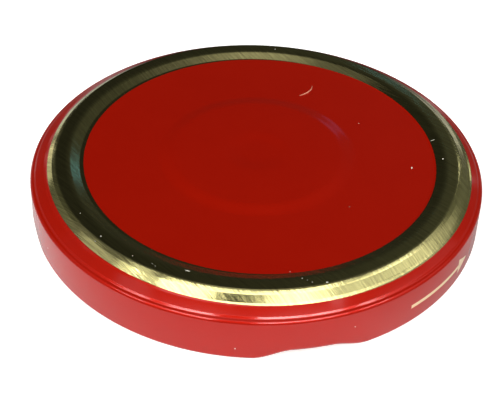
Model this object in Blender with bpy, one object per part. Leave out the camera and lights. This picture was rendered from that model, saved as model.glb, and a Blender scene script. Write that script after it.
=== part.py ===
"""Twist-off jar lid of the 70 mm size.

A cap drawn from one disc of lacquered tinplate. Its panel has a raised safety button, a ridge
runs round the panel, and the skirt ends in a hem that is rolled inwards and pressed into four
lugs. A ring of soft sealing compound fills the channel under the ridge.

Metres, +Z up. The origin is the centre of the plane that the hem stands on.
"""

import math

import bmesh
import bpy

# The sheet
SHEET = 0.0002

# The panel and its safety button; heights are of the outer face
RIDGE_HEIGHT = 0.00952
PANEL_SINK = 0.00077
PANEL_RADIUS = 0.0284
BUTTON_RISE = 0.00035
BUTTON_RADIUS = 0.0131
BUTTON_STEP_WIDTH = 0.0031
DIMPLE_DEPTH = 0.00014
DIMPLE_RADIUS = 0.0022
DIMPLE_SLOPE_WIDTH = 0.0034

# The ridge that the jar's rim seats under, and the cone outside it
INNER_SLOPE_WIDTH = 0.0018
RIDGE_WIDTH = 0.00188
CONE_WIDTH = 0.00202
CONE_DROP = 0.0013
RIDGE_EDGE_RADIUS = 0.0010
FOOT_RADIUS = 0.0004

# The shoulder, with two small beads, each a slope and the step or corner after it
SHOULDER_WIDTH = 0.0013
SHOULDER_DROP = 0.00066
BEAD_STEP_WIDTH = 0.00025
BEAD_STEP_DROP = 0.00024
BEAD_LAND_WIDTH = 0.00035
BEAD_LAND_DROP = 0.00005
BEAD_RADIUS = 0.00035
CORNER_RADIUS = 0.0004
SKIRT_TOP_OVERHANG = 0.0003
SKIRT_FLARE = 0.0002

# The hem between the lugs
HEM_BEND = 0.00072
HEM_REACH = 0.00175
HEM_THICKNESS = 0.00144
HEM_RETURN = 0.00025

# The lugs
LUG_COUNT = 4
LUG_BEARING = math.radians(-76)
LUG_ARC = math.radians(9)
LUG_FLANK_ARC = math.radians(9)
LUG_LIFT = 0.00115
LUG_TILT = 0.00022
LUG_BEND = 0.0011
LUG_REACH = 0.0031
LUG_THICKNESS = 0.0009
LUG_RETURN = 0.0011

# The sealing ring
SEAL_CLEARANCE = 0.0003
SEAL_THICKNESS = 0.00105
SEAL_FILM = 0.0004
SEAL_INNER_LAP = 0.0005
SEAL_OUTER_LAP = 0.0006
SEAL_EDGE_WIDTH = 0.0004

# Fineness of the round stretches
FACETS_ACROSS_LUG = 9
FACETS_BETWEEN_LUGS = 11
ARC_FACETS = 2
BEAD_FACETS = 1
BEND_FACETS = 3
TIP_FACETS = 4
STEP_FACETS = 3

# Heights and radii that follow from the sizes above
PANEL_HEIGHT = RIDGE_HEIGHT - PANEL_SINK
RIDGE_INNER_RADIUS = PANEL_RADIUS + INNER_SLOPE_WIDTH
RIDGE_OUTER_RADIUS = RIDGE_INNER_RADIUS + RIDGE_WIDTH
CONE_FOOT = (RIDGE_OUTER_RADIUS + CONE_WIDTH, RIDGE_HEIGHT - CONE_DROP)


def clear_scene():
    for item in list(bpy.data.objects):
        bpy.data.objects.remove(item, do_unlink=True)


def material(name, colour, roughness, metallic=0.0):
    made = bpy.data.materials.new(name)
    made.use_nodes = True
    shader = made.node_tree.nodes["Principled BSDF"]
    shader.inputs["Base Color"].default_value = (*colour, 1.0)
    shader.inputs["Roughness"].default_value = roughness
    shader.inputs["Metallic"].default_value = metallic
    return made


def eased(share):
    """A smooth rise from 0 to 1."""
    share = min(max(share, 0.0), 1.0)
    return share * share * (3.0 - 2.0 * share)


def rounded(before, corner, after, radius, facets):
    """Points of the arc that rounds a corner of an outline, no wider than its shorter side."""
    inward = (before[0] - corner[0], before[1] - corner[1])
    onward = (after[0] - corner[0], after[1] - corner[1])
    length_in, length_on = math.hypot(*inward), math.hypot(*onward)
    inward = (inward[0] / length_in, inward[1] / length_in)
    onward = (onward[0] / length_on, onward[1] / length_on)
    between = math.acos(max(-1.0, min(1.0, inward[0] * onward[0] + inward[1] * onward[1])))
    reach = min(radius / math.tan(between / 2), 0.45 * length_in, 0.45 * length_on)
    start = (corner[0] + inward[0] * reach, corner[1] + inward[1] * reach)
    end = (corner[0] + onward[0] * reach, corner[1] + onward[1] * reach)
    middle = ((start[0] + end[0]) / 2, (start[1] + end[1]) / 2)
    across = math.hypot(corner[0] - middle[0], corner[1] - middle[1])
    half = math.hypot(start[0] - middle[0], start[1] - middle[1])
    stretch = half * half / across
    centre = (middle[0] + (middle[0] - corner[0]) / across * stretch,
              middle[1] + (middle[1] - corner[1]) / across * stretch)
    arc_radius = math.hypot(start[0] - centre[0], start[1] - centre[1])
    first = math.atan2(start[1] - centre[1], start[0] - centre[0])
    last = math.atan2(end[1] - centre[1], end[0] - centre[0])
    turn = (last - first + math.pi) % (2 * math.pi) - math.pi
    return [(centre[0] + arc_radius * math.cos(first + turn * i / facets),
             centre[1] + arc_radius * math.sin(first + turn * i / facets))
            for i in range(facets + 1)]


def step(start_radius, width, start_height, rise):
    """Points of a soft step, level at both ends."""
    return [(start_radius + width * i / STEP_FACETS,
             start_height + rise * eased(i / STEP_FACETS))
            for i in range(STEP_FACETS + 1)]


def button_outline():
    """The button, from its dimpled middle down to the panel."""
    top = PANEL_HEIGHT + BUTTON_RISE
    dimple = step(DIMPLE_RADIUS, DIMPLE_SLOPE_WIDTH, top - DIMPLE_DEPTH, DIMPLE_DEPTH)
    edge = step(BUTTON_RADIUS, BUTTON_STEP_WIDTH, top, -BUTTON_RISE)
    return [(0.0, top - DIMPLE_DEPTH)] + dimple + edge


def ridge_outline():
    """The slope up from the panel, the ridge, and the cone down to the shoulder."""
    panel = (BUTTON_RADIUS + BUTTON_STEP_WIDTH, PANEL_HEIGHT)
    foot = (PANEL_RADIUS, PANEL_HEIGHT)
    inner = (RIDGE_INNER_RADIUS, RIDGE_HEIGHT)
    outer = (RIDGE_OUTER_RADIUS, RIDGE_HEIGHT)
    points = rounded(panel, foot, inner, FOOT_RADIUS, ARC_FACETS)
    points += rounded(foot, inner, outer, RIDGE_EDGE_RADIUS, ARC_FACETS)
    points += rounded(inner, outer, CONE_FOOT, RIDGE_EDGE_RADIUS, ARC_FACETS)
    return points


def shoulder_outline():
    """The two beads of the shoulder, and the corner over the skirt."""
    bead = (CONE_FOOT[0] + SHOULDER_WIDTH, CONE_FOOT[1] - SHOULDER_DROP)
    valley = (bead[0] + BEAD_STEP_WIDTH, bead[1] - BEAD_STEP_DROP)
    second = (valley[0] + BEAD_LAND_WIDTH, valley[1] - BEAD_LAND_DROP)
    corner = (second[0] + SKIRT_TOP_OVERHANG, second[1] - SKIRT_TOP_OVERHANG)
    hem_side = (corner[0] + SKIRT_FLARE, HEM_BEND)
    points = [CONE_FOOT]
    points += rounded(CONE_FOOT, bead, valley, BEAD_RADIUS, BEAD_FACETS)
    points += [valley]
    points += rounded(valley, second, corner, BEAD_RADIUS, BEAD_FACETS)
    points += rounded(second, corner, hem_side, CORNER_RADIUS, ARC_FACETS)
    return points, hem_side[0]


UPPER_OUTLINE = button_outline() + ridge_outline()
SHOULDER_OUTLINE, SKIRT_RADIUS = shoulder_outline()


def arc(centre, radius, first, last, facets):
    return [(centre[0] + radius * math.cos(first + (last - first) * i / facets),
             centre[1] + radius * math.sin(first + (last - first) * i / facets))
            for i in range(facets + 1)]


def mix(a, b, share):
    return a + (b - a) * share


def hem_outline(share, tilt):
    """Outer face of the hem: a roll where share is 0, and a flattened lug where it is 1.

    It bends in from the skirt, runs level to the tip, turns back over itself and ends inside.
    """
    bend = mix(HEM_BEND, LUG_BEND, share)
    lift = mix(0.0, LUG_LIFT + tilt, share)
    reach = mix(HEM_REACH, LUG_REACH, share)
    half = mix(HEM_THICKNESS, LUG_THICKNESS, share) / 2
    back = mix(HEM_RETURN, LUG_RETURN, share)
    tip = SKIRT_RADIUS - reach + half
    points = arc((SKIRT_RADIUS - bend, lift + bend), bend, 0.0, -math.pi / 2, BEND_FACETS)
    points += arc((tip, lift + half), half, -math.pi / 2, -3 * math.pi / 2, TIP_FACETS)
    points.append((tip + back, lift + 2 * half))
    return points


def bearings():
    """Angles round the lid, close together across each lug and wider apart between them.

    Each comes with the lug's share there and how far along the lug it is, from -1 to 1.
    """
    period = 2 * math.pi / LUG_COUNT
    half = LUG_ARC / 2 + LUG_FLANK_ARC
    placed = []
    for lug in range(LUG_COUNT):
        middle = LUG_BEARING + lug * period
        for i in range(FACETS_ACROSS_LUG):
            off = -half + 2 * half * i / FACETS_ACROSS_LUG
            share = eased((half - abs(off)) / LUG_FLANK_ARC)
            placed.append((middle + off, share, off / half))
        for i in range(FACETS_BETWEEN_LUGS):
            off = half + (period - 2 * half) * i / FACETS_BETWEEN_LUGS
            placed.append((middle + off, 0.0, 0.0))
    return placed


def turned(outlines, angles, closed):
    """A mesh whose columns are the outlines, each at its own angle round Z.

    A first point on the axis is shared by all columns. A closed outline makes a ring.
    """
    mesh = bmesh.new()
    on_axis = not closed and outlines[0][0][0] == 0.0
    columns = []
    shared = mesh.verts.new((0.0, 0.0, outlines[0][0][1])) if on_axis else None
    for outline, angle in zip(outlines, angles):
        column = [shared] if on_axis else []
        for radius, height in outline[len(column):]:
            place = (radius * math.cos(angle), radius * math.sin(angle), height)
            column.append(mesh.verts.new(place))
        columns.append(column)
    rows = len(columns[0])
    for here, there in zip(columns, columns[1:] + columns[:1]):
        for i in range(rows if closed else rows - 1):
            j = (i + 1) % rows
            corners = [here[i], here[j], there[j], there[i]]
            if on_axis and i == 0:
                corners = [here[0], here[1], there[1]]
            mesh.faces.new(corners)
    bmesh.ops.recalc_face_normals(mesh, faces=mesh.faces)
    return mesh


def placed_object(name, mesh, finish):
    data = bpy.data.meshes.new(name)
    mesh.to_mesh(data)
    mesh.free()
    data.materials.append(finish)
    data.shade_smooth()
    data.set_sharp_from_angle(angle=math.radians(40))
    made = bpy.data.objects.new(name, data)
    bpy.context.collection.objects.link(made)
    return made


def face_outwards(mesh):
    """Turns an open sheet over if the face at its middle looks down."""
    middle = min(mesh.faces, key=lambda face: face.calc_center_median().xy.length)
    if middle.normal.z < 0:
        bmesh.ops.reverse_faces(mesh, faces=mesh.faces)


def make_shell(finish):
    places = bearings()
    fixed = UPPER_OUTLINE + SHOULDER_OUTLINE
    outlines = [fixed + hem_outline(share, -LUG_TILT * along) for _, share, along in places]
    mesh = turned(outlines, [angle for angle, _, _ in places], closed=False)
    mesh.normal_update()
    face_outwards(mesh)
    shell = placed_object("lid_shell", mesh, finish)
    wall = shell.modifiers.new("sheet thickness", "SOLIDIFY")
    wall.thickness = SHEET
    wall.offset = -1.0
    wall.use_even_offset = True
    return shell


def under(points, depth):
    """Points of an outline moved down square to it by a depth, with its corners kept sharp."""
    moved = []
    for i, point in enumerate(points):
        before, after = points[max(i - 1, 0)], points[min(i + 1, len(points) - 1)]
        lean_in = math.atan2(point[1] - before[1], point[0] - before[0])
        lean_on = math.atan2(after[1] - point[1], after[0] - point[0])
        if i == 0:
            lean_in = lean_on
        if i == len(points) - 1:
            lean_on = lean_in
        lean = (lean_in + lean_on) / 2
        length = depth / math.cos((lean_on - lean_in) / 2)
        moved.append((point[0] + length * math.sin(lean), point[1] - length * math.cos(lean)))
    return moved


def make_sealing_ring(finish):
    """The ring fills the channel under the ridge and thins out along the cone to the shoulder.

    It hangs a small clearance under the sheet, and is level where the jar's rim presses.
    """
    gap = SHEET + SEAL_CLEARANCE
    level = RIDGE_HEIGHT - gap - SEAL_THICKNESS
    inner_edge = (PANEL_RADIUS - SEAL_INNER_LAP, PANEL_HEIGHT)
    outer_edge = (CONE_FOOT[0] + SEAL_OUTER_LAP,
                  CONE_FOOT[1] - SEAL_OUTER_LAP * SHOULDER_DROP / SHOULDER_WIDTH)
    roof = under([inner_edge] + ridge_outline() + [CONE_FOOT, outer_edge], gap)
    fall = CONE_DROP / CONE_WIDTH
    film_drop = (gap + SEAL_FILM) * math.hypot(1.0, fall)
    level_end = RIDGE_OUTER_RADIUS + (RIDGE_HEIGHT - film_drop - level) / fall
    film = under([(RIDGE_OUTER_RADIUS, RIDGE_HEIGHT), CONE_FOOT, outer_edge], gap + SEAL_FILM)
    underside = [film[2], film[1], (level_end, level), (roof[0][0] + SEAL_EDGE_WIDTH, level)]
    angles = [angle for angle, _, _ in bearings()]
    mesh = turned([roof + underside] * len(angles), angles, closed=True)
    return placed_object("sealing_ring", mesh, finish)


clear_scene()
make_shell(material("red_lacquered_tinplate", (0.34, 0.011, 0.004), 0.22, 0.3))
make_sealing_ring(material("sealing_compound", (0.72, 0.70, 0.64), 0.5))
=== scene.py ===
# %% [markdown]
# # A twist-off jar lid
# This script dresses the imported lid for a photograph-like render. The real lid is one disc of
# tinplate, 0.2 mm thick. It is printed red and varnished while it is flat, drawn into a cap,
# rolled at its rim and pressed into four lugs, and then a soft sealing ring is flowed into it.
# Every cell adds one piece or finish. The first cell loads the imported model. The dressed lid
# has to stay inside it.

# %% Load the imported lid
import math

import bpy
from mathutils import Matrix


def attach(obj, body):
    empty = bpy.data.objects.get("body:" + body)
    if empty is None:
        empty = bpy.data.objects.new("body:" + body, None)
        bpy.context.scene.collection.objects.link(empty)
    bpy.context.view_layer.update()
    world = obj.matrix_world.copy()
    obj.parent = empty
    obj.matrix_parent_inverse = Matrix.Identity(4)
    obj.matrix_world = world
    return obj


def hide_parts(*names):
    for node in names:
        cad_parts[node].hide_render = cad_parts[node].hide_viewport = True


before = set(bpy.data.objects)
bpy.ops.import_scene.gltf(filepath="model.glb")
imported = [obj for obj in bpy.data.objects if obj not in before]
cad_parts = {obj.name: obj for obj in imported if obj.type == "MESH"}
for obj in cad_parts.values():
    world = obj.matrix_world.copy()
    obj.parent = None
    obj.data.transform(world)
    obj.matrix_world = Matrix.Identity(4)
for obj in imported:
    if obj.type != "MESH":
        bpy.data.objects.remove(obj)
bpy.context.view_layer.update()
print("nodes:", sorted(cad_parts))

# %% [markdown]
# ## The outline
# A pressed lid is round, so one half section says nearly all of it. It could be drawn as a curve
# and turned with a Screw modifier. Here it is a chain of vertices, because each fold of the sheet
# then comes from a named size, in millimetres, that can be read off a photograph. The sizes are
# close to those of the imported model, with more points on the bends.

# %% Sizes of the section, in millimetres
MM = 0.001
SHEET = 0.20
RIDGE_HEIGHT = 9.50
PANEL_HEIGHT = 8.75
PANEL_RADIUS = 28.40
BUTTON_RISE, BUTTON_RADIUS, BUTTON_STEP = 0.35, 13.10, 3.10
DIMPLE_DEPTH, DIMPLE_RADIUS, DIMPLE_SLOPE = 0.14, 2.20, 3.40
RIDGE_INNER, RIDGE_OUTER = 30.20, 32.08
CONE_TOP, CONE_LOW, CONE_FOOT = (32.75, 9.13), (33.70, 8.43), (34.10, 8.20)
UPPER_BEAD, VALLEY = (35.40, 7.56), (35.65, 7.315)
LOWER_BEAD, SKIRT_TOP = (36.02, 7.20), (36.30, 6.92)
SKIRT_RADIUS = 36.498
print("panel to ridge:", round(RIDGE_HEIGHT - PANEL_HEIGHT, 2), "mm")

# %% [markdown]
# ## Steps, arcs and round corners
# Drawn metal has no sharp folds. Three helpers give the points of its bends: a step that is level
# at both ends, an arc, and the arc that rounds a corner between two straight stretches. A Bevel
# modifier could round the corners too, but it would round them all by one radius.

# %% Helpers for the section
MOST_OF_SIDE = 0.45


def eased(share):
    """A smooth rise from 0 to 1."""
    share = min(max(share, 0.0), 1.0)
    return share * share * (3.0 - 2.0 * share)


def soft_step(start, width, height, rise, pieces=12):
    """Points of a step that is level at both ends."""
    return [(start + width * i / pieces, height + rise * eased(i / pieces))
            for i in range(pieces + 1)]


def arc(centre, radius, first, last, pieces):
    """Points of an arc, its angles in radians."""
    return [(centre[0] + radius * math.cos(first + (last - first) * i / pieces),
             centre[1] + radius * math.sin(first + (last - first) * i / pieces))
            for i in range(pieces + 1)]


def wrapped(angle):
    """The same angle between -pi and pi."""
    return (angle + math.pi) % (2 * math.pi) - math.pi


def rounded(before, corner, after, radius, pieces):
    """Points that round a corner, using no more than MOST_OF_SIDE of the shorter side."""
    way_in = math.atan2(before[1] - corner[1], before[0] - corner[0])
    way_on = math.atan2(after[1] - corner[1], after[0] - corner[0])
    between = wrapped(way_on - way_in)
    half = abs(between) / 2
    room = MOST_OF_SIDE * min(math.dist(before, corner), math.dist(corner, after))
    reach = min(radius / math.tan(half), room)
    radius = reach * math.tan(half)
    centre = (corner[0] + radius / math.sin(half) * math.cos(way_in + between / 2),
              corner[1] + radius / math.sin(half) * math.sin(way_in + between / 2))
    start, end = [math.atan2(corner[1] + reach * math.sin(way) - centre[1],
                             corner[0] + reach * math.cos(way) - centre[0])
                  for way in (way_in, way_on)]
    return arc(centre, radius, start, start + wrapped(end - start), pieces)


def rounded_chain(first, corners, last):
    """Rounds a chain of corners, each given as its place, its radius and its pieces."""
    places = [first] + [corner[0] for corner in corners] + [last]
    points = []
    for before, (place, radius, pieces), after in zip(places, corners, places[2:]):
        points += rounded(before, place, after, radius, pieces)
    return points


# %% [markdown]
# ## The upper half of the section
# From the middle outwards: the shallow dimple, the round safety button and its step, the level
# panel, the short slope up to the ridge, the ridge that the jar's rim seats under, and the cone
# that falls to the shoulder. The cone is a little steeper in its middle than at its edges, as
# drawn metal is, and this gives the two bright lines along the gold ring. The safety button
# stands up by a third of a millimetre only, so it shows by a change in the reflection.

# %% Button, panel and ridge
button_top = PANEL_HEIGHT + BUTTON_RISE
dimple = soft_step(DIMPLE_RADIUS, DIMPLE_SLOPE, button_top - DIMPLE_DEPTH, DIMPLE_DEPTH)
button_edge = soft_step(BUTTON_RADIUS, BUTTON_STEP, button_top, -BUTTON_RISE)
ridge = rounded_chain(button_edge[-1], [
    ((PANEL_RADIUS, PANEL_HEIGHT), 0.4, 8), ((RIDGE_INNER, RIDGE_HEIGHT), 2.6, 12),
    ((RIDGE_OUTER, RIDGE_HEIGHT), 0.8, 8), (CONE_TOP, 0.5, 4), (CONE_LOW, 0.5, 4)], CONE_FOOT)
upper = [(0.0, dimple[0][1])] + dimple + button_edge + ridge
print("points down to the cone:", len(upper))

# %% [markdown]
# ## The shoulder and the hem
# Two fine beads stiffen the shoulder, and a tight corner turns the sheet down into the skirt.
# The cut edge at the skirt's foot is rolled inwards. At four places the roll is pressed flat into
# a lug, which catches under the thread of the jar. The hem's section is therefore a function: it
# gives the same number of points for the roll and for the lug, so that one can become the other.

# %% Shoulder and hem
HEM_HEIGHT, HEM_REACH, HEM_LIP = 1.44, 1.75, 0.25
HEM_BEND = HEM_HEIGHT / 2
LUG_BEND, LUG_REACH, LUG_THICKNESS, LUG_LIP = 1.10, 3.10, 0.90, 1.10
LUG_LIFT, LUG_TILT = 1.15, 0.22
shoulder = rounded_chain(CONE_LOW, [
    (CONE_FOOT, 0.5, 4), (UPPER_BEAD, 0.3, 6), (VALLEY, 0.3, 5), (LOWER_BEAD, 0.4, 6),
    (SKIRT_TOP, 0.4, 8)], (SKIRT_RADIUS, HEM_BEND))


def hem(bend, lift, reach, thickness, lip):
    """Bends in from the skirt, runs level to the tip, and turns back over itself."""
    half = thickness / 2
    tip = SKIRT_RADIUS - reach + half
    down = arc((SKIRT_RADIUS - bend, lift + bend), bend, 0.0, -math.pi / 2, 8)
    curl = arc((tip, lift + half), half, -math.pi / 2, -3 * math.pi / 2, 10)
    return down + curl + [(tip + lip, lift + thickness)]


rolled = upper + shoulder + hem(HEM_BEND, 0.0, HEM_REACH, HEM_HEIGHT, HEM_LIP)
lug_high, lug_low = [
    upper + shoulder + hem(LUG_BEND, LUG_LIFT + tilt, LUG_REACH, LUG_THICKNESS, LUG_LIP)
    for tilt in (LUG_TILT, -LUG_TILT)]
print("points in the whole outline:", len(rolled))

# %% [markdown]
# ## From outline to sheet
# The chain starts as a plane that is merged into one vertex. Each extrude adds the next point,
# and a spin turns the chain into a sheet. The lid repeats four times, once for each lug, so a
# quarter turn in steps of one degree is enough for now. Spin leaves a fan of vertices on the
# axis. The doubles are merged when a piece is closed, and then the normals are recalculated.

# %% Helpers for drawing and turning an outline
MERGE_WITHIN = 0.000002


def deselect_all():
    bpy.ops.object.select_all(action="DESELECT")


def make_active(piece):
    deselect_all()
    piece.select_set(True)
    bpy.context.view_layer.objects.active = piece


def merge_and_face_out():
    bpy.ops.mesh.select_all(action="SELECT")
    bpy.ops.mesh.remove_doubles(threshold=MERGE_WITHIN)
    bpy.ops.mesh.normals_make_consistent(inside=False)


def turned(name, outline, degrees=360, steps=240):
    """Draws an outline in the XZ plane by extruding a vertex, and spins it round Z."""
    deselect_all()
    bpy.ops.mesh.primitive_plane_add(size=0.001, location=(0, 0, 0))
    piece = bpy.context.object
    piece.name = piece.data.name = name
    bpy.ops.object.mode_set(mode="EDIT")
    bpy.ops.mesh.select_all(action="SELECT")
    bpy.ops.mesh.merge(type="CENTER")
    here = (0.0, 0.0)
    for i, point in enumerate(outline):
        move = ((point[0] - here[0]) * MM, 0.0, (point[1] - here[1]) * MM)
        if i == 0:
            bpy.ops.transform.translate(value=move)
        else:
            bpy.ops.mesh.extrude_vertices_move(TRANSFORM_OT_translate={"value": move})
        here = point
    bpy.ops.mesh.select_all(action="SELECT")
    bpy.ops.mesh.spin(steps=steps, angle=math.radians(degrees), center=(0, 0, 0), axis=(0, 0, 1))
    if degrees == 360:
        merge_and_face_out()
    bpy.ops.object.mode_set(mode="OBJECT")
    return piece


# %% Turn a quarter of each outline
LUG_COUNT = 4
QUARTER = 360 // LUG_COUNT
cap = turned("tinplate_cap", rolled, QUARTER, QUARTER)
high = turned("lug_high", lug_high, QUARTER, QUARTER)
low = turned("lug_low", lug_low, QUARTER, QUARTER)
print("faces in a quarter:", len(cap.data.polygons))

# %% [markdown]
# ## Pressing the lug
# The three sheets have the same vertices in the same order, so they can be joined as shapes, as
# long as no doubles are merged before, because merging may change the order. Each shape key is
# then held to its place by a vertex group: the weight rises smoothly over the lug's flanks, and
# is shared between the high and the low shape along its length, because a lug leans with the
# thread. Moving vertices by proportional editing would also do it, but this keeps the sizes
# exact.

# %% Weights of the lug
LUG_BEARING, LUG_ARC, LUG_FLANK = -76.0, 9.0, 9.0
HEM_ZONE = 30.0


def lug_weights(x, y):
    """How much of the high and the low lug a place on the hem takes."""
    bearing = math.degrees(math.atan2(y, x))
    off = (bearing - LUG_BEARING + QUARTER / 2) % QUARTER - QUARTER / 2
    half = LUG_ARC / 2 + LUG_FLANK
    share = eased((half - abs(off)) / LUG_FLANK)
    along = max(-1.0, min(1.0, off / half))
    return share * (1 - along) / 2, share * (1 + along) / 2


print("a lug spans", LUG_ARC + 2 * LUG_FLANK, "degrees with its flanks")

# %% Blend the rolled hem into a lug
make_active(cap)
high.select_set(True)
low.select_set(True)
bpy.ops.object.join_shapes()
groups = [cap.vertex_groups.new(name=key.name) for key in (high, low)]
for vertex in cap.data.vertices:
    if math.hypot(vertex.co.x, vertex.co.y) > HEM_ZONE * MM:
        for group, weight in zip(groups, lug_weights(vertex.co.x, vertex.co.y)):
            if weight > 0:
                group.add([vertex.index], weight, "REPLACE")
for group in groups:
    key = cap.data.shape_keys.key_blocks[group.name]
    key.value = 1.0
    key.vertex_group = group.name
make_active(cap)
cap.active_shape_key_index = 0
bpy.ops.object.shape_key_remove(all=True, apply_mix=True)
cap.vertex_groups.clear()
for spare in (high, low):
    bpy.data.objects.remove(spare, do_unlink=True)
print("widest place of the quarter:", round(max(v.co.x for v in cap.data.vertices) / MM, 3), "mm")

# %% [markdown]
# ## Four quarters
# The quarter is duplicated and turned about the axis until the lid is closed, and the seams are
# merged. With no window the rotate operator ignores the pivot, so it is told its centre.

# %% Close the lid
bpy.ops.object.mode_set(mode="EDIT")
bpy.ops.mesh.select_all(action="SELECT")
for copy in range(LUG_COUNT - 1):
    bpy.ops.mesh.duplicate()
    bpy.ops.transform.rotate(value=math.radians(QUARTER), orient_axis="Z",
                             center_override=(0, 0, 0))
merge_and_face_out()
bpy.ops.object.mode_set(mode="OBJECT")
print("faces in the sheet:", len(cap.data.polygons))
print("lowest point of the hem:", round(min(v.co.z for v in cap.data.vertices) / MM, 3), "mm")

# %% [markdown]
# ## Sheet thickness
# The outline is the outer face of the tinplate. A Solidify modifier gives it its 0.2 mm, inwards
# only, and puts the second material on the inner face, because the inside of a lid has a lacquer
# of its own.

# %% Give the sheet its thickness
make_active(cap)
bpy.ops.object.mode_set(mode="EDIT")
bpy.ops.mesh.select_all(action="SELECT")
middle = min(cap.data.polygons, key=lambda face: math.hypot(face.center.x, face.center.y))
if middle.normal.z < 0:
    bpy.ops.mesh.flip_normals()
bpy.ops.object.mode_set(mode="OBJECT")
wall = cap.modifiers.new("sheet thickness", "SOLIDIFY")
wall.thickness = SHEET * MM
wall.offset = -1.0
wall.use_even_offset = True
wall.material_offset = 1
wall.material_offset_rim = 1
cap.data.materials.append(bpy.data.materials.new("outer_lacquer_and_print"))
cap.data.materials.append(bpy.data.materials.new("inner_gold_lacquer"))
bpy.ops.object.modifier_apply(modifier=wall.name)
bpy.ops.object.shade_smooth_by_angle(angle=math.radians(40))
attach(cap, "root")
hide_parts("lid_shell")
print("triangles in the cap:", sum(len(p.vertices) - 2 for p in cap.data.polygons))

# %% [markdown]
# ## The sealing ring
# Soft compound is flowed into the channel under the ridge while the lid spins, and then baked. It
# fills the corner, thins out along the cone, and has soft edges where it wetted the sheet. It is
# turned from a closed outline that follows the sheet on top and is level where the rim presses.

# %% Turn the sealing ring
SEAL_GAP = SHEET + 0.02
RIM_SEAT = 7.97


def below(points, depth):
    """Moves an outline down, square to itself."""
    moved = []
    for i, point in enumerate(points):
        before, after = points[max(i - 1, 0)], points[min(i + 1, len(points) - 1)]
        lean = math.atan2(after[1] - before[1], after[0] - before[0])
        moved.append((point[0] + depth * math.sin(lean), point[1] - depth * math.cos(lean)))
    return moved


roof = below([(28.0, PANEL_HEIGHT), (PANEL_RADIUS, PANEL_HEIGHT), (RIDGE_INNER, RIDGE_HEIGHT),
              (RIDGE_OUTER, RIDGE_HEIGHT), (34.1, 8.22), (34.6, 7.97)], SEAL_GAP)
under_side = [(34.35, 7.42), (33.85, 7.46), (33.3, 7.68), (32.9, 7.88), (32.5, RIM_SEAT - 0.01),
              (31.5, RIM_SEAT), (30.0, RIM_SEAT), (28.9, RIM_SEAT), (28.45, RIM_SEAT + 0.03),
              (28.15, RIM_SEAT + 0.12), (27.99, RIM_SEAT + 0.3)]
seal = turned("sealing_compound", roof + under_side + roof[:1])
seal.data.materials.append(bpy.data.materials.new("soft_sealing_compound"))
make_active(seal)
bpy.ops.object.shade_smooth_by_angle(angle=math.radians(50))
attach(seal, "root")
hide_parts("sealing_ring")
print("ring from", round(roof[0][1], 2), "down to", RIM_SEAT, "mm")

# %% [markdown]
# ## Dust
# The photographed lid is not quite clean: pale flecks lie on it, most of them on the ridge. A
# fleck is a small sphere pressed flat and laid on the sheet. The outline tells how high the sheet
# is where a fleck lies, and how far it leans. Flecks could be painted by a texture, but real ones
# stand up a little and catch the light.

# %% Where the flecks lie, in millimetres
# On top: x, y, breadth, length. On the skirt: bearing in degrees, height, breadth, length.
ON_TOP = [(24.73, -2.54, 0.17, 0.42), (16.92, 9.22, 0.12, 0.12), (14.31, -12.79, 0.08, 0.10),
          (29.82, -0.62, 0.20, 0.22), (28.83, 4.71, 0.60, 0.08), (2.57, 30.91, 0.16, 0.20),
          (-22.04, -22.47, 0.16, 0.18), (-25.80, -17.58, 0.10, 0.10), (-17.02, -26.34, 0.10, 0.11),
          (-14.09, -27.76, 0.08, 0.08), (-13.62, -28.24, 0.08, 0.09), (-9.07, -28.87, 0.14, 0.62),
          (10.32, -30.15, 0.13, 0.30), (6.89, -29.51, 0.10, 0.16), (7.58, -29.87, 0.07, 0.09),
          (8.26, -30.23, 0.08, 0.12), (-22.77, -23.29, 0.09, 0.09), (5.24, -27.51, 0.08, 0.08)]
ON_SKIRT = [(-93.2, 2.16, 0.16, 0.16), (-66.5, 4.26, 0.15, 0.17), (-148.0, 3.82, 0.10, 0.12)]
SKIRT_LEAN = 0.2 / 6.2
SKIRT_FACING = math.radians(88)


def on_sheet(radius, outline):
    """Height of the sheet at a radius, and how far it leans outwards."""
    for inner, outer in zip(outline, outline[1:]):
        if inner[0] <= radius <= outer[0] and outer[0] > inner[0]:
            share = (radius - inner[0]) / (outer[0] - inner[0])
            lean = math.atan2(inner[1] - outer[1], outer[0] - inner[0])
            return inner[1] + share * (outer[1] - inner[1]), lean


places = []
for x, y, broad, long in ON_TOP:
    height, lean = on_sheet(math.hypot(x, y), rolled)
    places.append((x, y, height, lean, math.atan2(y, x), broad, long))
for bearing, height, broad, long in ON_SKIRT:
    turn = math.radians(bearing)
    out_to = SKIRT_RADIUS - SKIRT_LEAN * (height - HEM_BEND)
    places.append((out_to * math.cos(turn), out_to * math.sin(turn), height, SKIRT_FACING, turn,
                   broad, long))
print("flecks:", len(places))

# %% Dust flecks
FLECK_HEIGHT = 0.013
FLECK_RADIUS = 1.25
deselect_all()
parts = []
for x, y, height, lean, turn, broad, long in places:
    bpy.ops.mesh.primitive_ico_sphere_add(
        subdivisions=2, radius=FLECK_RADIUS, location=(x * MM, y * MM, height * MM),
        rotation=(0, lean, turn), scale=(broad * MM / 2, long * MM / 2, FLECK_HEIGHT * MM))
    parts.append(bpy.context.object)
make_active(parts[0])
for part in parts:
    part.select_set(True)
bpy.ops.object.join()
flecks = bpy.context.object
flecks.name = flecks.data.name = "dust_flecks"
bpy.ops.object.transform_apply(location=True, rotation=True, scale=True)
bpy.ops.object.shade_smooth()
flecks.data.materials.append(bpy.data.materials.new("pale_dust"))
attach(flecks, "root")
print("highest fleck:", round(max(v.co.z for v in flecks.data.vertices) / MM, 3), "mm")

# %% [markdown]
# ## Lint
# A bent fibre, less than 5 mm long, lies on the panel. It could be extruded vertex by vertex. It
# is a thin curve here, because a curve takes its thickness from each of its points, and a fibre
# thins out towards its ends. The curve is then turned into a mesh.

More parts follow.
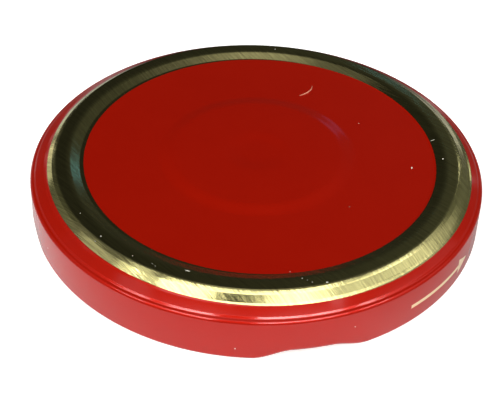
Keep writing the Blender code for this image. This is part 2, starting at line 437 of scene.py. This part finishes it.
# %% Lint fibre
# Each bend of the fibre: x, y, and its share of the full thickness.
BENDS = [(7.00, 16.80, 0.4), (7.90, 17.45, 1.0), (8.75, 18.40, 1.0), (9.16, 19.30, 0.7),
         (9.22, 19.95, 0.3)]
FIBRE_RADIUS, FIBRE_LIFT = 0.105, 0.07
deselect_all()
bpy.ops.curve.primitive_bezier_curve_add()
fibre = bpy.context.object
fibre.name = "lint_fibre"
spline = fibre.data.splines[0]
spline.bezier_points.add(len(BENDS) - 2)
for point, (x, y, thick) in zip(spline.bezier_points, BENDS):
    point.co = (x * MM, y * MM, (PANEL_HEIGHT + FIBRE_LIFT) * MM)
    point.radius = thick
    point.handle_left_type = point.handle_right_type = "AUTO"
fibre.data.bevel_depth = FIBRE_RADIUS * MM
fibre.data.bevel_resolution = 2
fibre.data.resolution_u = 8
fibre.data.use_fill_caps = True
make_active(fibre)
bpy.ops.object.convert(target="MESH")
fibre = bpy.context.object
fibre.data.name = "lint_fibre"
bpy.ops.object.transform_apply(location=True, rotation=True, scale=True)
bpy.ops.object.shade_smooth_by_angle(angle=math.radians(60))
fibre.data.materials.append(bpy.data.materials.new("lint"))
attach(fibre, "root")
print("fibre faces:", len(fibre.data.polygons))

# %% [markdown]
# ## Material helpers
# Materials are node trees built in code. These helpers add a node, set its values and link it,
# so that each material below reads as a list of what happens to the surface. Patterns read the
# lid's own Object coordinates, so they stay where they are when the lid is moved.

# %% Helpers for node trees
def node(tree, kind, inputs={}, **settings):
    """Adds a node, and sets or links its inputs by name or number."""
    made = tree.nodes.new(kind)
    for name, value in settings.items():
        setattr(made, name, value)
    for name, value in inputs.items():
        if isinstance(value, bpy.types.NodeSocket):
            tree.links.new(value, made.inputs[name])
        else:
            made.inputs[name].default_value = value
    return made


def maths(tree, operation, *values):
    return node(tree, "ShaderNodeMath", dict(enumerate(values)), operation=operation).outputs[0]


def product(tree, first, *others):
    """All the values multiplied with each other."""
    for value in others:
        first = maths(tree, "MULTIPLY", first, value)
    return first


def ramp(tree, value, start, end, low=0.0, high=1.0):
    """low where the value is at start, high where it is at end, and level beyond them."""
    return node(tree, "ShaderNodeMapRange", {
        0: value, 1: start, 2: end, 3: low, 4: high}).outputs[0]


def place_on(tree):
    return node(tree, "ShaderNodeTexCoord").outputs["Object"]


def sides_of(tree):
    """X, Y and Z of the place."""
    return node(tree, "ShaderNodeSeparateXYZ", {0: place_on(tree)}).outputs


def from_axis(tree, x, y):
    """The distance from the axis of the lid."""
    return maths(tree, "SQRT", maths(tree, "ADD", product(tree, x, x), product(tree, y, y)))


def noise(tree, scale, detail):
    return node(tree, "ShaderNodeTexNoise", {
        "Vector": place_on(tree), "Scale": scale, "Detail": detail}).outputs[0]


def blend(tree, share, first, second):
    """Goes from the first colour to the second."""
    return node(tree, "ShaderNodeMix", {0: share, 6: first, 7: second},
                data_type="RGBA").outputs[2]


def bumped(tree, height, distance, strength=1.0):
    return node(tree, "ShaderNodeBump", {
        "Strength": strength, "Distance": distance, "Height": height}).outputs[0]


# %% Helpers for materials and node groups
def empty_tree(material):
    material.use_nodes = True
    material.node_tree.nodes.clear()
    return material.node_tree


def give_surface(tree, shader):
    node(tree, "ShaderNodeOutputMaterial", {"Surface": shader.outputs[0]})
    print("nodes in this material:", len(tree.nodes))


def new_group(name, takes, gives):
    """An empty node group: the values it takes, each with its default, and those it gives."""
    tree = bpy.data.node_groups.new(name, "ShaderNodeTree")
    for label, value in takes.items():
        socket = tree.interface.new_socket(label, in_out="INPUT", socket_type="NodeSocketFloat")
        socket.default_value = value
    for label in gives:
        tree.interface.new_socket(label, in_out="OUTPUT", socket_type="NodeSocketFloat")
    return tree, tree.nodes.new("NodeGroupInput").outputs, tree.nodes.new("NodeGroupOutput").inputs


# %% [markdown]
# ## Grain of the rolled sheet
# Tinplate is rolled, and its fine grain runs one way over the whole lid, whatever the pressing did
# later. Noise that is stretched along one direction gives it: a Mapping node turns the lid's own
# coordinates into line with the rolling, and one axis is scaled far less than the other. Both
# metal finishes use it, so it is a node group.

# %% Node group: rolling grain
GRAIN_TURN = 136.0
GRAIN_STRETCH = 0.05
BROAD_LINES = 0.3
grain_group, takes, gives = new_group("rolling grain", {"Lines per mm": 3.0}, ["Fine", "Broad"])
lined_up = node(grain_group, "ShaderNodeMapping", {
    "Vector": place_on(grain_group), "Rotation": (0, 0, math.radians(-GRAIN_TURN))})
per_metre = product(grain_group, takes["Lines per mm"], 1000.0)
for label, share in (("Fine", 1.0), ("Broad", BROAD_LINES)):
    across = product(grain_group, per_metre, share)
    along = product(grain_group, across, GRAIN_STRETCH)
    stretch = node(grain_group, "ShaderNodeCombineXYZ", {"X": along, "Y": across, "Z": along})
    stretched = node(grain_group, "ShaderNodeVectorMath", {
        0: lined_up.outputs[0], 1: stretch.outputs[0]}, operation="MULTIPLY")
    lines = node(grain_group, "ShaderNodeTexNoise", {
        "Vector": stretched.outputs[0], "Scale": 1.0, "Detail": 2.0, "Roughness": 0.6})
    grain_group.links.new(ramp(grain_group, lines.outputs[0], 0.3, 0.7), gives[label])
print("grain runs at", GRAIN_TURN, "degrees from X")

# %% [markdown]
# ## The print mask
# The red is printed on the flat sheet before it is pressed, and the print sits almost 0.5 mm off
# the pressed forms, as it often does. The bare gold ring lies between two circles round that
# moved centre. The group gives 1 on the gold ring and 0 on the red, from the distance to the
# centre, and a little noise makes the edge of the ink uneven.

# %% Node group: the gold ring left free by the print
PRINT_SHIFT, PRINT_EDGE = 0.00046, 0.00006
print_group, takes, gives = new_group(
    "print mask", {"Inner radius": 0.02827, "Outer radius": 0.03397}, ["Gold"])
x, y, z = sides_of(print_group)
radius = from_axis(print_group, maths(print_group, "SUBTRACT", x, PRINT_SHIFT), y)
ragged = maths(print_group, "SUBTRACT", noise(print_group, 2500.0, 2.0), 0.5)
radius = maths(print_group, "ADD", radius, product(print_group, ragged, PRINT_EDGE))
past_inner = maths(print_group, "SUBTRACT", radius, takes["Inner radius"])
past_outer = maths(print_group, "SUBTRACT", takes["Outer radius"], radius)
gold = product(print_group, *[ramp(print_group, past, -PRINT_EDGE / 2, PRINT_EDGE / 2)
                              for past in (past_inner, past_outer)])
print_group.links.new(gold, gives["Gold"])
print("the print sits", PRINT_SHIFT / MM, "mm off")

# %% [markdown]
# ## A turning arrow on the skirt
# A lid of this kind can show on its side which way it turns. A plain arrow does it: a bar and a
# triangle in pale gold. It is part of the print, so it is a mask and not a piece. The mask works
# with the bearing round the lid and the height up the skirt.

# %% Node group: the arrow
ARROW_START, ARROW_END = math.radians(-51.0), math.radians(-27.5)
ARROW_RADIUS, ARROW_HEIGHT, ARROW_EDGE = 0.0364, 0.0034, 0.00004
BAR_HALF, HEAD_HALF, HEAD_LENGTH = 0.00032, 0.00135, 0.0030
SKIRT_FROM, SKIRT_ON = 0.0360, 0.0361
arrow_group, takes, gives = new_group("turning arrow", {}, ["Arrow"])
x, y, z = sides_of(arrow_group)
bearing = maths(arrow_group, "ARCTAN2", y, x)
run = product(arrow_group, maths(arrow_group, "SUBTRACT", bearing, ARROW_START), ARROW_RADIUS)
off = maths(arrow_group, "ABSOLUTE", maths(arrow_group, "SUBTRACT", z, ARROW_HEIGHT))
length = (ARROW_END - ARROW_START) * ARROW_RADIUS
neck = length - HEAD_LENGTH
bar = product(arrow_group, ramp(arrow_group, run, 0.0, ARROW_EDGE),
              ramp(arrow_group, run, neck + ARROW_EDGE, neck),
              ramp(arrow_group, off, BAR_HALF + ARROW_EDGE / 2, BAR_HALF - ARROW_EDGE / 2))
slant = product(arrow_group, maths(arrow_group, "SUBTRACT", length, run), HEAD_HALF / HEAD_LENGTH)
tip = product(arrow_group, ramp(arrow_group, run, neck - ARROW_EDGE, neck),
              ramp(arrow_group, maths(arrow_group, "SUBTRACT", slant, off), 0.0, ARROW_EDGE))
outside = ramp(arrow_group, from_axis(arrow_group, x, y), SKIRT_FROM, SKIRT_ON)
arrow = product(arrow_group, maths(arrow_group, "MAXIMUM", bar, tip), outside)
arrow_group.links.new(arrow, gives["Arrow"])
print("arrow is", round(length / MM, 1), "mm long")

# %% [markdown]
# ## Outer finish
# Red ink over tinplate, under a clear varnish. The ink lets some light through to the metal, so it
# is neither paint nor metal: less than half metallic, with a rough sheen, and a smooth coat on
# top that gives the sharp reflections. The bare ring is metal under a yellowish varnish, with its
# grain in the colour, in the roughness and in a fine bump. The masks pick one or the other. The
# metal sets in before the gold colour does, so no pale line runs along the print's edge.

# %% Colours of the outer finish
RED_DEEP, RED_LIGHT = (0.43, 0.0070, 0.0008, 1), (0.46, 0.0086, 0.0012, 1)
GOLD_DEEP, GOLD_LIGHT = (0.68, 0.61, 0.25, 1), (0.98, 0.90, 0.38, 1)
ARROW_INK = (0.88, 0.66, 0.38, 1)
tree = empty_tree(bpy.data.materials["outer_lacquer_and_print"])
gold = node(tree, "ShaderNodeGroup", node_tree=print_group).outputs["Gold"]
arrow = node(tree, "ShaderNodeGroup", node_tree=arrow_group).outputs["Arrow"]
grain = node(tree, "ShaderNodeGroup", {"Lines per mm": 5.5}, node_tree=grain_group).outputs
red = blend(tree, noise(tree, 160.0, 3.0), RED_DEEP, RED_LIGHT)
inked = blend(tree, arrow, red, ARROW_INK)
gold_tint = blend(tree, grain["Fine"], GOLD_DEEP, GOLD_LIGHT)
base = blend(tree, ramp(tree, gold, 0.5, 1.0), inked, gold_tint)
print("nodes for the colours:", len(tree.nodes))

# %% Material: outer lacquer and print
RED_METAL, RED_ROUGH, RED_COAT = 0.40, 0.34, 0.85
GOLD_SMOOTH, GOLD_ROUGH, GOLD_COAT = 0.08, 0.16, 0.3
GRAIN_ON_RED, BROAD_IN_GRAIN, PEEL_IN_GRAIN = 0.15, 0.7, 0.12
GRAIN_DEPTH, PEEL_DEPTH = 0.000007, 0.000002
metal = ramp(tree, gold, 0.0, 0.5, RED_METAL, 1.0)
gold_rough = ramp(tree, grain["Broad"], 0.0, 1.0, GOLD_SMOOTH, GOLD_ROUGH)
rough = node(tree, "ShaderNodeMix", {0: gold, 2: RED_ROUGH, 3: gold_rough})
peel = noise(tree, 900.0, 2.0)
lines = maths(tree, "ADD", grain["Fine"], product(tree, grain["Broad"], BROAD_IN_GRAIN))
lines = product(tree, lines, ramp(tree, gold, 0.0, 1.0, GRAIN_ON_RED, 1.0))
height = maths(tree, "ADD", product(tree, peel, PEEL_IN_GRAIN), lines)
give_surface(tree, node(tree, "ShaderNodeBsdfPrincipled", {
    "Base Color": base, "Metallic": metal, "Roughness": rough.outputs[0],
    "Normal": bumped(tree, height, GRAIN_DEPTH), "Specular IOR Level": 0.0,
    "Coat Weight": ramp(tree, gold, 0.0, 1.0, RED_COAT, GOLD_COAT), "Coat Roughness": 0.12,
    "Coat IOR": 1.46, "Coat Normal": bumped(tree, peel, PEEL_DEPTH)}))

# %% [markdown]
# ## Inner finish
# The inside of such a lid has a plain golden lacquer against acid food. It is the same metal,
# with a deeper yellow, a softer shine and the same grain.

# %% Material: inner lacquer
tree = empty_tree(bpy.data.materials["inner_gold_lacquer"])
grain = node(tree, "ShaderNodeGroup", {"Lines per mm": 4.0}, node_tree=grain_group).outputs
tone = maths(tree, "ADD", product(tree, noise(tree, 90.0, 4.0), 0.5),
             product(tree, grain["Fine"], 0.5))
colour = blend(tree, tone, (0.62, 0.46, 0.20, 1), (0.80, 0.63, 0.32, 1))
give_surface(tree, node(tree, "ShaderNodeBsdfPrincipled", {
    "Base Color": colour, "Metallic": 0.9,
    "Roughness": ramp(tree, grain["Broad"], 0.0, 1.0, 0.26, 0.40),
    "Normal": bumped(tree, grain["Fine"], 0.000003), "Coat Weight": 0.6,
    "Coat Roughness": 0.12}))

# %% [markdown]
# ## Sealing compound
# The compound is a soft, slightly shiny off-white plastic. Flow left faint waves in it, and light
# enters it a little, so it gets some subsurface scattering.

# %% Material: sealing compound
tree = empty_tree(bpy.data.materials["soft_sealing_compound"])
waves, speck = noise(tree, 260.0, 2.0), noise(tree, 2200.0, 2.0)
colour = blend(tree, waves, (0.66, 0.64, 0.57, 1), (0.74, 0.72, 0.66, 1))
height = maths(tree, "ADD", waves, product(tree, speck, 0.1))
give_surface(tree, node(tree, "ShaderNodeBsdfPrincipled", {
    "Base Color": colour, "Roughness": ramp(tree, speck, 0.0, 1.0, 0.38, 0.58),
    "Normal": bumped(tree, height, 0.00008, 0.6),
    "Subsurface Weight": 0.15, "Subsurface Scale": 0.0006}))

# %% [markdown]
# ## Dust and lint finishes
# Both are matt, pale dust and a reddish fibre. Their colour varies a little from place to place,
# or they would look like paint.

# %% Materials: dust and lint
for name, deep, light, rough in (
        ("pale_dust", (0.62, 0.58, 0.46, 1), (0.86, 0.83, 0.72, 1), 0.8),
        ("lint", (0.58, 0.20, 0.12, 1), (0.80, 0.34, 0.22, 1), 0.6)):
    tree = empty_tree(bpy.data.materials[name])
    spots = noise(tree, 1800.0, 3.0)
    give_surface(tree, node(tree, "ShaderNodeBsdfPrincipled", {
        "Base Color": blend(tree, spots, deep, light), "Roughness": rough,
        "Normal": bumped(tree, spots, 0.00001, 0.5), "Specular IOR Level": 0.2}))

# %% [markdown]
# ## The floor
# The lid was photographed on white. The floor is a pale plane, a hair below the hem, that the
# camera sees as white, with the lid's shadow on it. An ordinary plane would do for that. What
# the lid itself mirrors is another matter, and the next step sets it.

# %% Floor
deselect_all()
bpy.ops.mesh.primitive_circle_add(vertices=96, radius=2.5, fill_type="NGON", location=(0, 0, 0))
floor = bpy.context.object
floor.name = "floor"
bpy.ops.object.mode_set(mode="EDIT")
bpy.ops.mesh.select_all(action="SELECT")
bpy.ops.transform.translate(value=(0, 0, -0.00002))
bpy.ops.object.mode_set(mode="OBJECT")
floor.data.materials.append(bpy.data.materials.new("pale_floor"))
print("floor is", round(floor.dimensions.x, 1), "m wide")

# %% [markdown]
# ## What the lid mirrors of the floor
# The skirt and the left edge of the gold ring mirror something white and near, and the red at the
# back mirrors something dark. These are painted reflections on the floor. Mirrored rays, told by
# Light Path's Is Glossy Ray, find the plane painted white with a faint glow only within a few
# outlined patches, and painted dark elsewhere, while the camera still sees it white. An outline is
# a product of ramps, each with the place where it is 0 and the place where it is 1. The patch at
# the left back ends in a curve, so a parabola bounds it.

# %% Outlines of the painted white patches that mirrored rays find, in metres
CURVE_START, CURVE_BEND = 0.0500, 9.5
tree = empty_tree(floor.data.materials[0])
x, y, z = sides_of(tree)
away = node(tree, "ShaderNodeVectorMath", {0: place_on(tree)}, operation="LENGTH").outputs["Value"]
curve = maths(tree, "MULTIPLY_ADD", product(tree, x, x), CURVE_BEND, CURVE_START)
beyond = maths(tree, "SUBTRACT", y, curve)


def reflected_white_patch(strength, *edges):
    """A painted white patch for mirrored rays, of some strength, each edge as what it reads, and
    where it is 0 and 1.
    """
    return product(tree, strength, *[ramp(tree, *edge) for edge in edges])


nearby = (away, 0.085, 0.062)
in_front = reflected_white_patch(ramp(tree, x, 0.034, 0.020, 0.55, 1.0), (y, 0.028, 0.012), nearby)
right = reflected_white_patch(0.3, (x, 0.026, 0.050), nearby)
left_back = reflected_white_patch(0.5, (x, -0.024, -0.038), (y, 0.036, 0.042), (beyond, 0.0015, -0.0015),
                     (away, 0.20, 0.16))
right_back = reflected_white_patch(0.5, (x, 0.040, 0.050), (y, 0.036, 0.044), (away, 0.15, 0.12))
# All the patches together: where mirrored rays find the floor painted white.
sheet = in_front
for other in (right, left_back, right_back):
    sheet = maths(tree, "MAXIMUM", sheet, other)
print("nodes for the sheets:", len(tree.nodes))

# %% Material: floor
CAMERA_GLOW, PAINTED_REFLECTION_GLOW = 0.56, 0.05
light_path = node(tree, "ShaderNodeLightPath").outputs
# Painted dark reflection: outside the patches, mirrored rays find the floor painted dark, darker
# further back.
painted_dark_reflection = blend(tree, ramp(tree, y, 0.020, 0.034), (0.10, 0.10, 0.09, 1), (0.025, 0.025, 0.02, 1))
dark = product(tree, light_path["Is Glossy Ray"], maths(tree, "SUBTRACT", 1.0, sheet))
matt = node(tree, "ShaderNodeBsdfDiffuse", {
    "Color": blend(tree, dark, (0.86, 0.86, 0.86, 1), painted_dark_reflection)})
# Painted reflection glow: within the patches the floor glows a little for mirrored rays only;
# camera rays get an even white glow.
glow = maths(tree, "ADD", product(tree, light_path["Is Camera Ray"], CAMERA_GLOW),
             product(tree, light_path["Is Glossy Ray"], sheet, PAINTED_REFLECTION_GLOW))
lift = node(tree, "ShaderNodeEmission", {"Color": (1, 1, 0.95, 1), "Strength": glow})
give_surface(tree, node(tree, "ShaderNodeAddShader", {0: matt.outputs[0], 1: lift.outputs[0]}))

# %% [markdown]
# ## Light
# Shiny metal shows its surroundings more than itself, and each slope of this lid mirrors another
# part of them. A slope that leans s degrees towards the camera mirrors the height 135 - 2s, so the
# place of every bright line in the photograph tells where its light stood. Two wide boxes on the
# ceiling make the lines along both edges of the cone, the boxes below them light the cone's face
# and leave a dark gap at its front, and small strong lamps lower down make the highlights on the
# beads. The rest are weak boxes at the sides. None of them is seen by the camera.

# %% Helpers for area lights
BOX_DISTANCE = 0.9


def direction(azimuth, elevation):
    """A unit direction: azimuth 0 is the camera's side and 90 is +X."""
    a, e = math.radians(azimuth), math.radians(elevation)
    return (math.sin(a) * math.cos(e), -math.cos(a) * math.cos(e), math.sin(e))


def face_lid(thing, azimuth, elevation, distance, roll=0):
    thing.location = [distance * part for part in direction(azimuth, elevation)]
    thing.rotation_euler = (Matrix.Rotation(math.radians(azimuth), 3, "Z")
                            @ Matrix.Rotation(math.radians(90 - elevation), 3, "X")
                            @ Matrix.Rotation(math.radians(roll), 3, "Z")).to_euler()


def spanned(distance, degrees):
    """The size that spans so many degrees at a distance."""
    return 2 * distance * math.tan(math.radians(degrees / 2))


def area_light(name, width, height, radiance):
    """An area light that is equally bright at any size."""
    lamp = bpy.data.lights.new(name, "AREA")
    lamp.shape = "RECTANGLE"
    lamp.size, lamp.size_y = width, height
    lamp.energy = radiance * math.pi * width * height
    box = bpy.data.objects.new(name, lamp)
    bpy.context.collection.objects.link(box)
    box.visible_camera = False
    return box


def soft_box(name, azimuth, elevation, wide, high, radiance, roll=0):
    """A light that faces the lid and spans wide by high degrees of what it mirrors."""
    box = area_light(name, spanned(BOX_DISTANCE, wide), spanned(BOX_DISTANCE, high), radiance)
    face_lid(box, azimuth, elevation, BOX_DISTANCE, roll)


# %% Lights
CEILING, CEILING_WIDE, CEILING_DEEP, CEILING_RADIANCE = 0.9, 0.46, 0.19, 2.6
for name, x, turn in (("ceiling_left", -0.24, -14), ("ceiling_right", 0.215, 14)):
    box = area_light(name, CEILING_WIDE, CEILING_DEEP, CEILING_RADIANCE)
    box.location = (x, -0.270, CEILING)
    box.rotation_euler = (0, 0, math.radians(turn))

# Each soft box: azimuth, elevation, width and height in degrees, radiance, and roll if turned.
for row in (
        ("left_box", -44, 56, 18, 12, 2.1),
        ("left_side_box", -71, 48, 14, 10, 0.9),
        ("left_high_box", -86, 60, 10, 8, 0.8),
        ("right_box", 26, 58, 23, 9, 2.0),
        ("right_middle_box", 63, 51, 22, 14, 0.6),
        ("right_wall", 84, 36, 32, 16, 0.7),
        ("right_low_box", 111, 25, 12, 8, 0.3),
        ("right_far_box", 110, 38, 12, 14, 0.3),
        ("left_lamp", -31, 45.5, 17, 7, 15.0),
        ("left_lamp_far", -61, 40, 14, 7, 11.0),
        ("right_lamp", 16, 46, 17, 6, 19.0),
        ("right_lamp_middle", 38, 43.5, 13, 6, 16.0),
        ("right_lamp_far", 61, 39.5, 12, 7, 12.0),
        ("right_spot", 77, 68, 3, 3, 4.0),
        ("left_low_box", -129, 9, 18, 7, 0.45),
        ("left_wall", -91, 38, 18, 12, 0.28),
        ("right_patch", 138, 17.5, 4, 4, 2.4),
        ("right_edge_box", 90, 53, 27, 3, 2.0, -45)):
    soft_box(*row)

# %% [markdown]
# ## Cards
# A card is a plane that faces the lid, with a faint glow of its own. A wide dark one behind the
# lid is what the panel and the flat of the ridge mirror: it makes them deep red and nearly black.
# A low white one gives the cream edge at the left, and a small blue one, like a far window, gives
# the bluish spots on the button and on the inner slope of the ridge. Cards are stage, and the
# camera doesn't see them, so they can stand anywhere.

# %% Cards
def card(name, azimuth, elevation, wide, high, distance, tint, glows):
    """A card whose glow changes along its width: (place from 0 to 1, strength), ..."""
    deselect_all()
    bpy.ops.mesh.primitive_plane_add(size=1.0)
    made = bpy.context.object
    made.name = name
    made.scale = (spanned(distance, wide), spanned(distance, high), 1)
    face_lid(made, azimuth, elevation, distance)
    made.data.materials.append(bpy.data.materials.new(name))
    tree = empty_tree(made.data.materials[0])
    across = sides_of(tree)["X"]
    strength = glows[0][1]
    for (start, dim), (end, bright) in zip(glows, glows[1:]):
        part = ramp(tree, across, start - 0.5, end - 0.5)
        strength = maths(tree, "ADD", strength, product(tree, part, bright - dim))
    give_surface(tree, node(tree, "ShaderNodeEmission", {
        "Color": (*tint, 1), "Strength": strength}))
    made.visible_camera = False


card("dark_card_back", 180, 30, 124, 66, 0.7, (1.0, 1.04, 0.93), [
    (0.0, 0.13), (0.20, 0.10), (0.38, 0.06), (0.43, 0.043), (0.50, 0.024), (0.57, 0.015),
    (0.66, 0.022), (0.80, 0.05), (1.0, 0.14)])
card("low_white_card", -135, 2.5, 16, 6, 0.6, (1.0, 0.93, 0.85), [(0.0, 0.85), (1.0, 0.45)])
card("blue_card", 167, 25.5, 5, 6, 0.6, (0.22, 0.55, 1.0), [(0.0, 0.42)])

# %% [markdown]
# ## World
# The world stands for all the rest of the room. A picture of a room could be wrapped round the
# lid, but a plain grey is easier to steer. It is a little brighter low down and right above.
# Diffuse rays find more light low down and at the left, so the colours are lit while the
# reflections stay dark. The camera finds it white, like the ground of the photograph.

# %% World
LOW_FILL, LEFT_FILL, EVEN_FILL = 0.30, 0.62, 0.22
LOW_GREY, TOP_GREY, EVEN_GREY = 0.05, 0.28, 0.10
world = bpy.data.worlds.new("studio")
bpy.context.scene.world = world
tree = empty_tree(world)
light_path = node(tree, "ShaderNodeLightPath").outputs
towards = node(tree, "ShaderNodeTexCoord").outputs["Generated"]
x, y, z = node(tree, "ShaderNodeSeparateXYZ", {0: towards}).outputs
low = ramp(tree, z, 0.75, 0.45)
left = ramp(tree, product(tree, x, -1.0), 0.2, 0.9)
near_top = node(tree, "ShaderNodeVectorMath", {0: towards, 1: direction(180, 84)},
                operation="DOT_PRODUCT").outputs["Value"]
high = ramp(tree, near_top, 0.965, 0.995)
fill = maths(tree, "ADD", product(tree, low, LOW_FILL), product(tree, left, LEFT_FILL))
fill = product(tree, light_path["Is Diffuse Ray"], maths(tree, "ADD", fill, EVEN_FILL))
grey = maths(tree, "ADD", product(tree, low, LOW_GREY), EVEN_GREY)
grey = maths(tree, "ADD", grey, maths(tree, "ADD", fill, product(tree, high, TOP_GREY)))
room = node(tree, "ShaderNodeBackground", {"Color": (1, 1, 1, 1), "Strength": grey})
plain = node(tree, "ShaderNodeBackground", {"Color": (1, 1, 1, 1), "Strength": 1.0})
both = node(tree, "ShaderNodeMixShader", {
    0: light_path["Is Camera Ray"], 1: room.outputs[0], 2: plain.outputs[0]})
node(tree, "ShaderNodeOutputWorld", {"Surface": both.outputs[0]})
print("nodes in the world:", len(tree.nodes))

# %% [markdown]
# ## Camera
# Circles fitted to the photograph gave the camera: a little over 39 degrees above the floor and
# 167 mm from the lid, with a lens of 72 mm on a sensor 36 mm wide.

# %% Camera and view
lens = bpy.data.cameras.new("camera")
lens.lens, lens.sensor_width, lens.clip_start = 72.0, 36.0, 0.01
camera = bpy.data.objects.new("camera", lens)
bpy.context.collection.objects.link(camera)
camera.location = (0.0, -0.129387, 0.106003)
camera.rotation_euler = [math.radians(angle) for angle in (50.200, -1.486, 1.638)]
bpy.context.scene.camera = camera
bpy.context.scene.view_settings.view_transform = "Standard"
print("camera is", round(camera.location.length / MM), "mm from the lid's foot")
